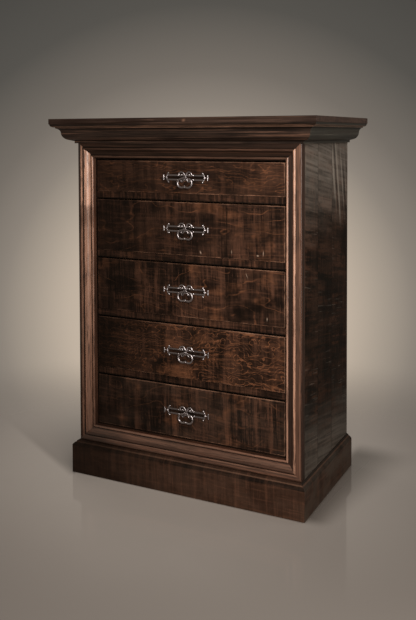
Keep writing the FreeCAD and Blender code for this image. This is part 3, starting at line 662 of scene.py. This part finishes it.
def turnedSteel(name):
    finish, wire = newFinish(name)
    place = wire.node("TexCoord", None, None, "Object")
    lathe = place.noise(steelLook["latheScale"])
    colour = lathe.tint(steelLook["dark"], steelLook["bright"])
    rough = 0.3 + lathe * 0.15
    closeFinish(wire, {"Base Color": colour, "Metallic": 1.0, "Roughness": rough},
                lathe, steelLook["latheDepth"])
    return finish


pewter = castPewter("castPewter")
for number in drawerNumbers:
    dress(pewter, *["drawer_%d_%s" % (number, part) for part in ("pull_plate", "pull_pins", "ring")])
dress(turnedSteel("turnedSteel"), "cleat_screws")
print("finishes made:", len(bpy.data.materials))

# a pull in millimetres: right, up and out from the middle of the plate, then the radius of the rod there
pull = {
    "strapRise": 8.2,
    "strapReach": 74.0,
    "strapHalf": (2.8, 2.3),        # half height and half thickness of a strap
    "scroll": [(-19.5, -9.0, 2.0, 2.4), (-18.4, -13.8, 2.2, 2.7), (-12.6, -15.8, 2.4, 2.9),
               (-7.6, -10.8, 2.8, 3.0), (-3.5, -3.5, 3.2, 3.2), (0.5, 4.0, 3.4, 3.2), (4.4, 12.4, 3.2, 3.2),
               (9.0, 18.6, 3.1, 3.2), (15.6, 20.6, 3.1, 3.2), (22.6, 17.8, 3.1, 3.2), (26.2, 11.8, 3.0, 3.0),
               (23.0, 6.6, 2.6, 2.5), (17.2, 5.4, 2.4, 2.1), (13.8, 8.4, 2.4, 1.8)],
    "scrollLift": 0.5,              # the right scroll crosses over the left one
    "crescent": [(70.6, 16.0, 2.4, 2.1), (74.4, 12.4, 2.5, 2.1), (76.9, 6.6, 2.5, 2.2), (77.8, 0.0, 2.6, 2.4),
                 (76.9, -6.6, 2.5, 2.2), (74.4, -12.4, 2.5, 2.1), (70.6, -16.0, 2.4, 2.1)],
    "beads": [(70.2, 16.2, 2.8, 3.9), (70.2, -16.2, 2.8, 3.9), (77.8, 0.0, 3.2, 4.8), (15.4, 10.2, 3.1, 3.6)],
    "beadDepth": (0.6, 0.2),        # a bead's ends, in and out from its place
    "neck": [(78.0, 0.0, 2.0, 3.4), (82.0, 0.0, 1.9, 2.9), (86.5, 0.0, 1.9, 2.9), (90.0, 0.0, 1.8, 3.4)],
    "flare": [(91.0, 8.8, 2.5, 3.1), (90.8, 5.6, 2.5, 3.0), (90.6, 0.0, 2.5, 3.0), (90.8, -5.6, 2.5, 3.0),
              (91.0, -8.8, 2.5, 3.1)],
    "strapKnob": (31.0, 2.8, 3.5),  # distance from the middle, height out of the face, radius
    "strapKnobHalf": 0.6,           # half its length without the domes
    "knuckle": (2.3, 3.2),          # half width and radius of the ear that holds the hinge pin
    "knuckleRoot": 1.0,             # height out of the face where the ear starts
    "hinge": (1.0, 8.5),            # hinge axis: up from the middle and out from the drawer front
    "grain": 0.6,                   # fineness of the cast surface
    "keep": 0.30,                   # share of its faces that stays
}
ring = {
    "corner": (13.3, -21.3, 16.0),  # middle and radius of the lower bends, from the hinge axis
    "turns": (66.0, 40.0, 12.0, -16.0, -44.0, -72.0, -100.0),  # degrees round a bend
    "dip": -35.1,                   # height of the lowest point
    "eye": (3.35, 6.45, 1.75, 3.4),  # distances aside: from, to, hole and outside radius
    "eyeLip": 0.5,
    "shankStart": (0.8, 0.6),       # aside from the middle of the eye, and up into it
    "shank": 2.9, "side": 3.6, "low": 4.2,  # radii of the rod
    "collar": (4.9, 2.0),           # radius and half length, round the lowest point
    "grain": 0.55,
    "keep": 0.35,
}
casting = {"soften": 0.5, "passes": 3, "domes": (0.35, 0.8, 1.2)}  # domes in radians from the tip of a rod
mm = 0.001


def smoothPath(points, steps):  # a curve through points that carry their own radius
    path = []
    last = len(points) - 1
    for i in range(last):
        a, b, c, d = [Vector(points[min(max(k, 0), last)]) for k in range(i - 1, i + 3)]
        for n in range(steps):
            t = n / steps
            path.append(0.5 * (2 * b + (c - a) * t + (2 * a - 5 * b + 4 * c - d) * t ** 2
                               + (3 * b - a - 3 * c + d) * t ** 3))
    return path + [Vector(points[-1])]


def spot(right, up, out):  # millimetres on a drawer front to metres
    return Vector((right, -out, up)) * mm


def castRod(shape, points, steps=6, sides=14, dome=0.8):
    path = smoothPath(points, steps)
    last = len(path) - 1
    centres = [spot(*p[:3]) for p in path]
    radii = [p[3] * mm for p in path]
    headings = [(centres[min(i + 1, last)] - centres[max(i - 1, 0)]).normalized() for i in range(last + 1)]
    circle = [(math.cos(k * math.tau / sides), math.sin(k * math.tau / sides)) for k in range(sides)]
    side = headings[0].orthogonal().normalized()
    rings = []
    for turn, (centre, radius, heading) in enumerate(zip(centres, radii, headings)):
        side = (side - heading * side.dot(heading)).normalized()
        other = heading.cross(side)
        courses = [(0.0, 1.0)]
        if turn == 0:
            courses = [(-dome * math.cos(a), math.sin(a)) for a in casting["domes"]] + courses
        if turn == last:
            courses = courses + [(dome * math.cos(a), math.sin(a)) for a in reversed(casting["domes"])]
        for ahead, share in courses:
            middle = centre + heading * (ahead * radius)
            reach = radius * share
            rings.append([shape.verts.new(middle + (side * x + other * y) * reach) for x, y in circle])
    for first, second in zip(rings, rings[1:]):
        for k in range(sides):
            shape.faces.new((first[k], first[k - 1], second[k - 1], second[k]))
    shape.faces.new(rings[0])
    shape.faces.new(rings[-1][::-1])


def castStrap(shape, up):
    half, thick = pull["strapHalf"]
    made = bmesh.ops.create_cube(shape, size=1.0)
    stretch = Matrix.Diagonal((2 * pull["strapReach"] * mm, 2 * thick * mm, 2 * half * mm, 1.0))
    bmesh.ops.transform(shape, matrix=Matrix.Translation(spot(0, up, thick)) @ stretch, verts=made["verts"])


def castEye(shape, start, end, hole, outside, sides=28):  # a lathe-turned eye round the hinge axis
    lip = ring["eyeLip"]
    profile = [(start, hole), (end, hole), (end, outside - lip), (end - lip, outside), (start + lip, outside),
               (start, outside - lip)]
    rings = []
    for k in range(sides):
        angle = k * math.tau / sides
        rings.append([shape.verts.new(spot(x, r * math.cos(angle), r * math.sin(angle))) for x, r in profile])
    for k in range(sides):
        for j in range(len(profile)):
            shape.faces.new((rings[k - 1][j - 1], rings[k - 1][j], rings[k][j], rings[k][j - 1]))


def castSkin(name, shape, grain, keep):  # melts overlapping rods into one smooth skin
    bmesh.ops.recalc_face_normals(shape, faces=shape.faces)
    rough = bpy.data.meshes.new(name + "Rough")
    shape.to_mesh(rough)
    shape.free()
    block = bpy.data.objects.new(name + "Rough", rough)
    bpy.context.scene.collection.objects.link(block)
    melt = block.modifiers.new("melt", "REMESH")
    melt.mode = "VOXEL"
    melt.voxel_size = grain * mm
    soften = block.modifiers.new("soften", "SMOOTH")
    soften.factor = casting["soften"]
    soften.iterations = casting["passes"]
    thin = block.modifiers.new("thin", "DECIMATE")
    thin.ratio = keep
    bpy.context.view_layer.update()
    skin = bpy.data.meshes.new_from_object(block.evaluated_get(bpy.context.evaluated_depsgraph_get()))
    skin.name = name
    bpy.data.objects.remove(block)
    return skin


def castPullPlate():
    shape = bmesh.new()
    for up in (pull["strapRise"], -pull["strapRise"]):
        castStrap(shape, up)
    hingeUp, hingeOut = pull["hinge"]
    half, radius = pull["knuckle"]
    castRod(shape, [(0, hingeUp, pull["knuckleRoot"], radius), (0, hingeUp, hingeOut, radius)], dome=0.3)
    castRod(shape, [(-half, hingeUp, hingeOut, radius), (half, hingeUp, hingeOut, radius)], dome=0.2)
    inner, outer = pull["beadDepth"]
    away, knobOut, knobRadius = pull["strapKnob"]
    knobHalf = pull["strapKnobHalf"]
    for hand in (1, -1):
        for part in ("scroll", "crescent", "neck", "flare"):
            lift = pull["scrollLift"] if part == "scroll" and hand > 0 else 0.0
            castRod(shape, [(hand * s, t, p + lift, r) for s, t, p, r in pull[part]])
        for s, t, p, r in pull["beads"]:
            castRod(shape, [(hand * s, t, p - inner, r), (hand * s, t, p + outer, r)])
        for up in (pull["strapRise"], -pull["strapRise"]):
            castRod(shape, [(hand * away, up + end, knobOut, knobRadius) for end in (-knobHalf, knobHalf)])
    skin = castSkin("pullPlate", shape, pull["grain"], pull["keep"])
    flat = bmesh.new()  # the back is cut flat against the drawer front
    flat.from_mesh(skin)
    bmesh.ops.bisect_plane(flat, geom=flat.verts[:] + flat.edges[:] + flat.faces[:], plane_co=(0, 0, 0),
                           plane_no=(0, 1, 0), clear_outer=True)
    rim = [edge for edge in flat.edges if edge.is_boundary]
    bmesh.ops.triangle_fill(flat, use_beauty=True, use_dissolve=False, edges=rim, normal=(0, 1, 0))
    bmesh.ops.recalc_face_normals(flat, faces=flat.faces)
    flat.to_mesh(skin)
    flat.free()
    return skin


def castRing():
    shape = bmesh.new()
    start, end, hole, outside = ring["eye"]
    for low, high in ((start, end), (-end, -start)):
        castEye(shape, low, high, hole, outside)
    x, z, bend = ring["corner"]
    eyeMiddle = (start + end) / 2
    aside, into = ring["shankStart"]
    half = [(eyeMiddle + aside, -outside + into, 0.0, ring["shank"])]
    for turn in ring["turns"]:
        angle = math.radians(turn)
        share = (turn - ring["turns"][0]) / (ring["turns"][-1] - ring["turns"][0])
        radius = ring["side"] + (ring["low"] - ring["side"]) * share
        half.append((x + bend * math.cos(angle), z + bend * math.sin(angle), 0.0, radius))
    loop = half + [(0.0, ring["dip"], 0.0, ring["low"])] + [(-s, t, p, r) for s, t, p, r in reversed(half)]
    castRod(shape, loop)
    collar, reach = ring["collar"]
    castRod(shape, [(-reach, ring["dip"], 0.0, collar), (reach, ring["dip"], 0.0, collar)], dome=0.3)
    return castSkin("ring", shape, ring["grain"], ring["keep"])


def hangPulls():
    plateMesh, ringMesh = castPullPlate(), castRing()
    for mesh in (plateMesh, ringMesh):
        mesh.materials.clear()
        mesh.materials.append(pewter)
        mesh.polygons.foreach_set("use_smooth", [True] * len(mesh.polygons))
    for number in drawerNumbers:
        low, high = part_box("drawer_%d_front" % number)
        plate = bpy.data.objects.new("cast_pull_plate_%d" % number, plateMesh)
        plate.location = (0.0, low.y, (low.z + high.z) / 2)
        loop = bpy.data.objects.new("cast_ring_%d" % number, ringMesh)
        loop.location = plate.location + spot(0, *pull["hinge"])
        hung = ((plate, "drawer_%d", "drawer_%d_pull_plate"), (loop, "ring_%d", "drawer_%d_ring"))
        for piece, body, node in hung:
            bpy.context.scene.collection.objects.link(piece)
            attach(piece, body % number)
            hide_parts(node % number)
    print("pulls cast:", len(plateMesh.polygons), "and", len(ringMesh.polygons), "faces")


hangPulls()

# edges eased with a plane, by the width in metres
easedEdges = {
    0.0006: ["frame_left", "frame_right", "frame_top", "frame_bottom", "drawer_rails"],
    0.0010: ["cornice_front", "cornice_left", "cornice_right"],
    0.0014: ["plinth_front", "plinth_left", "plinth_right"],
}
easing = {"join": 1e-5, "facets": 2, "sharpest": 34.0}  # metres, count and degrees


def easeEdges():
    for width, names in easedEdges.items():
        for name in names:
            weld = nodes[name].modifiers.new("weld", "WELD")
            weld.merge_threshold = easing["join"]
            ease = nodes[name].modifiers.new("ease", "BEVEL")
            ease.width = width
            ease.segments = easing["facets"]
            ease.limit_method = "ANGLE"
            ease.angle_limit = math.radians(easing["sharpest"])
            level = nodes[name].modifiers.new("level", "WEIGHTED_NORMAL")
            level.keep_sharp = True


easeEdges()
print("edges eased")

# metres, degrees, and strengths from 0 up
studio = {
    # the floor's colour carries a painted pool of light: palest near one spot, darker away from it
    "floorNear": paint(196, 184, 173),
    "floorFar": paint(123, 115, 108),
    "floorTurn": (0.0, 1.475),  # distances from the palest spot of the painted pool of light, between which the floor darkens
    "palest": (-0.51, 1.02, 0.0),
    "mottle": paint(120, 111, 100),
    "mottleScale": (6.0, 6.0, 6.0),
    "floorGlow": 0.25,        # share of the floor that shows its plain colour to the camera
    "floorMiddle": (0.25, -0.72, 0.0),
    "floorReach": 1.02,       # radius that stays opaque
    "floorFade": 2.52,        # radius where nothing of it is left
    "floorRim": 0.05,
    "shade": paint(62, 55, 49),
    "contact": 0.012,         # reach of the painted contact shade under the plinth
    "wedge": 0.45,            # strength of the long shade to the left
    "wedgeLean": 29.7,        # degrees backwards from the left
    "wedgeReach": 0.90,
    "wedgeWidth": 0.32,
    "wedgeFront": (-0.035, 0.005),  # its soft edges at the front and at the chest
    "wedgeFoot": (-0.03, 0.0),
    "beside": 0.75,           # strength of the short shade along the right side
    "besideWidth": (0.10, 0.22),  # at the front corner, and what it gains per metre backwards
    "besideFront": (-0.02, 0.05),  # its soft edges at the front, at the back and at the chest
    "besideBack": (0.80, 0.64),
    "besideFoot": (-0.06, -0.01),
    "polish": 1.15,           # strength of the mirrored plinth
    "polishReach": 0.55,      # distance from the plinth at which the polish ends
    "polishRough": (0.05, 0.03),  # least, and what the mottle adds
    "polishIndex": 1.9,       # of refraction
    "fill": 0.13,             # light from all round
    "fillColour": (1.0, 0.97, 0.93, 1.0),
    "glowAt": (-0.4390, 0.8733, -0.2115),  # the direction in which the backdrop is brightest
    # backdrop colours by the cosine of the angle to that direction, from 0.5 to 1
    "backdrop": [(0.30, paint(150, 141, 129)), (0.62, paint(128, 121, 112)), (0.80, paint(74, 72, 68)),
                 (0.863, paint(85, 82, 77)), (0.915, paint(116, 109, 101)), (0.940, paint(139, 130, 120)),
                 (0.959, paint(169, 157, 143)), (0.974, paint(193, 178, 161)), (1.0, paint(206, 190, 172))],
}


def shownTo(wire):  # 1 for the camera's rays and for those that are mirrored or pass through glass
    ray = wire.node("LightPath").socket.node
    seen = Wire(wire.tree, ray.outputs["Is Camera Ray"])
    for kind in ("Is Glossy Ray", "Is Transmission Ray"):
        seen = seen.most(Wire(wire.tree, ray.outputs[kind]))
    return seen


def layFloor():
    shape = bmesh.new()
    rim = studio["floorFade"] + studio["floorRim"]
    bmesh.ops.create_circle(shape, cap_ends=True, radius=rim, segments=96)
    mesh = bpy.data.meshes.new("floor")
    shape.to_mesh(mesh)
    shape.free()
    floor = bpy.data.objects.new("floor", mesh)
    floor.location = studio["floorMiddle"]
    bpy.context.scene.collection.objects.link(floor)
    finish, wire = newFinish("studioFloor")
    place = wire.node("TexCoord", None, None, "Object")
    reach = wire.node("VectorMath", {"operation": "LENGTH"}, {0: place}, "Value")
    mottle = place.noise(studio["mottleScale"], 3.0)
    away = wire.node("VectorMath", {"operation": "DISTANCE"}, {0: place, 1: studio["palest"]}, "Value")
    # painted pool of light, palest at one spot
    colour = away.rise(*studio["floorTurn"]).tint(studio["floorNear"], studio["floorFar"])
    # painted contact shade along the foot of the plinth
    contact = wire.node("AmbientOcclusion", {"samples": 8}, {"Distance": studio["contact"]}, "AO")
    colour = (contact.rise(0.95, 0.50) * 0.5).tint(colour, studio["shade"])
    right, back = place.split()[:2]
    low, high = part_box("plinth_front")[0] - floor.location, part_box("plinth_right")[1] - floor.location
    gaps = [(abs(right - (low.x + high.x) / 2) - (high.x - low.x) / 2).most(0.0),
            (abs(back - (low.y + high.y) / 2) - (high.y - low.y) / 2).most(0.0)]
    apart = wire.node("VectorMath", {"operation": "LENGTH"}, {0: wire.joined(*gaps, 0.0)}, "Value")
    # shade of the chest: a long wedge to the left, and a short one along the right side
    leftward, rightward, backward = low.x - right, right - high.x, back - low.y
    lean = math.radians(studio["wedgeLean"])
    out = leftward * math.cos(lean) + backward * math.sin(lean)
    behind = backward * math.cos(lean) - leftward * math.sin(lean)
    wedge = behind.rise(*studio["wedgeFront"]) * behind.rise(studio["wedgeWidth"], 0.0)
    wedge = wedge * out.rise(studio["wedgeReach"], 0.0) * leftward.rise(*studio["wedgeFoot"])
    width, widening = studio["besideWidth"]
    beside = (rightward / (backward * widening + width)).rise(1.0, 0.0)
    beside = beside * backward.rise(*studio["besideFront"]) * backward.rise(*studio["besideBack"])
    beside = beside * rightward.rise(*studio["besideFoot"])
    colour = (wedge * studio["wedge"]).most(beside * studio["beside"]).tint(colour, studio["shade"])
    colour = (mottle * 0.1).tint(colour, studio["mottle"])
    matte = wire.node("BsdfDiffuse", None, {"Color": colour})
    glow = wire.node("Emission", None, {"Color": colour, "Strength": 1.0})
    matte = wire.node("MixShader", None, {0: shownTo(wire) * studio["floorGlow"], 1: matte, 2: glow})
    leastRough, addedRough = studio["polishRough"]
    mirrorRough = leastRough + mottle * addedRough
    polish = wire.node("BsdfGlossy", None, {"Color": (1.0, 1.0, 1.0, 1.0), "Roughness": mirrorRough})
    sheen = wire.node("Fresnel", None, {"IOR": studio["polishIndex"]})
    sheen = sheen * apart.rise(studio["polishReach"], 0.0) * studio["polish"]
    polished = wire.node("MixShader", None, {0: sheen, 1: matte, 2: polish})
    clear = wire.node("BsdfTransparent")
    thin = reach.rise(studio["floorReach"], studio["floorFade"])
    faded = wire.node("MixShader", None, {0: thin, 1: polished, 2: clear})
    wire.node("OutputMaterial", None, {"Surface": faded})
    mesh.materials.append(finish)
    return floor


def lightWorld():
    world = bpy.data.worlds.new("studio")
    bpy.context.scene.world = world
    world.use_nodes = True
    world.node_tree.nodes.clear()
    wire = Wire(world.node_tree)
    ray = wire.node("TexCoord", None, None, "Generated")
    towards = wire.node("VectorMath", {"operation": "DOT_PRODUCT"}, {0: ray, 1: studio["glowAt"]}, "Value")
    backdrop = wire.node("ValToRGB", {"stops": studio["backdrop"]}, {0: (towards - 0.5) * 2.0})
    lamp = wire.node("Background", None, {"Color": studio["fillColour"], "Strength": studio["fill"]})
    wall = wire.node("Background", None, {"Color": backdrop, "Strength": 1.0})
    mixed = wire.node("MixShader", None, {0: shownTo(wire), 1: lamp, 2: wall})
    wire.node("OutputWorld", None, {"Surface": mixed})


softBoxes = {  # metres and watts; a mirrored one can be seen in polished wood and metal
    "key": {"at": (1.32, -1.82, 1.64), "aim": (-0.1, -0.2, 0.95), "size": (1.0, 1.4), "power": 56.0,
            "colour": (1.0, 0.96, 0.91), "mirrored": True},
    "low": {"at": (1.45, -1.95, 0.55), "aim": (0.1, -0.2, 0.35), "size": (0.7, 0.6), "power": 11.5,
            "colour": (1.0, 0.95, 0.89), "mirrored": True},
    "side": {"at": (1.15, 0.35, 1.85), "aim": (0.46, 0.05, 1.10), "size": (0.5, 0.5), "power": 4.0,
             "colour": (0.96, 0.98, 1.0), "mirrored": True},
    "left": {"at": (-1.70, 0.75, 1.55), "aim": (-0.46, 0.05, 0.80), "size": (0.9, 0.9), "power": 9.0,
             "colour": (1.0, 0.98, 0.95), "mirrored": False},
}


def hangSoftBox(name, look, floor):
    for part in ("Chest", "Floor"):  # the floor has a lamp of its own, which doesn't show in its polish
        data = bpy.data.lights.new(name + part, "AREA")
        data.shape = "RECTANGLE"
        data.size, data.size_y = look["size"]
        data.energy = look["power"]
        data.color = look["colour"]
        lamp = bpy.data.objects.new(name + part, data)
        lamp.location = look["at"]
        lamp.rotation_euler = (Vector(look["aim"]) - Vector(look["at"])).to_track_quat("-Z", "Y").to_euler()
        lamp.visible_camera = False
        lamp.visible_glossy = part == "Chest" and look["mirrored"]
        lit = bpy.data.collections.new(name + part)
        lit.objects.link(floor)
        if part == "Chest":
            lit.collection_objects[0].light_linking.link_state = "EXCLUDE"
        lamp.light_linking.receiver_collection = lit
        bpy.context.scene.collection.objects.link(lamp)


camera = {
    "at": (1.4049, -2.8058, 1.3099),
    "yaw": 26.687, "pitch": 2.037, "roll": -0.181,  # degrees
    "sensor": 36.0, "lens": 47.33,                  # millimetres
    "shift": -0.2358,                               # share of the picture's height
}


def placeCamera():
    data = bpy.data.cameras.new("camera")
    data.sensor_width = camera["sensor"]
    data.lens = camera["lens"]
    data.shift_y = camera["shift"]
    eye = bpy.data.objects.new("camera", data)
    turn = Matrix.Rotation(math.radians(camera["yaw"]), 3, "Z")
    tilt = Matrix.Rotation(math.radians(90 - camera["pitch"]), 3, "X")
    roll = Matrix.Rotation(math.radians(camera["roll"]), 3, "Z")
    eye.matrix_world = Matrix.Translation(camera["at"]) @ (turn @ tilt @ roll).to_4x4()
    bpy.context.scene.collection.objects.link(eye)
    bpy.context.scene.camera = eye


floor = layFloor()
lightWorld()
for name, look in softBoxes.items():
    hangSoftBox(name, look, floor)
placeCamera()
bpy.context.scene.view_settings.view_transform = "Standard"
print("stage set")
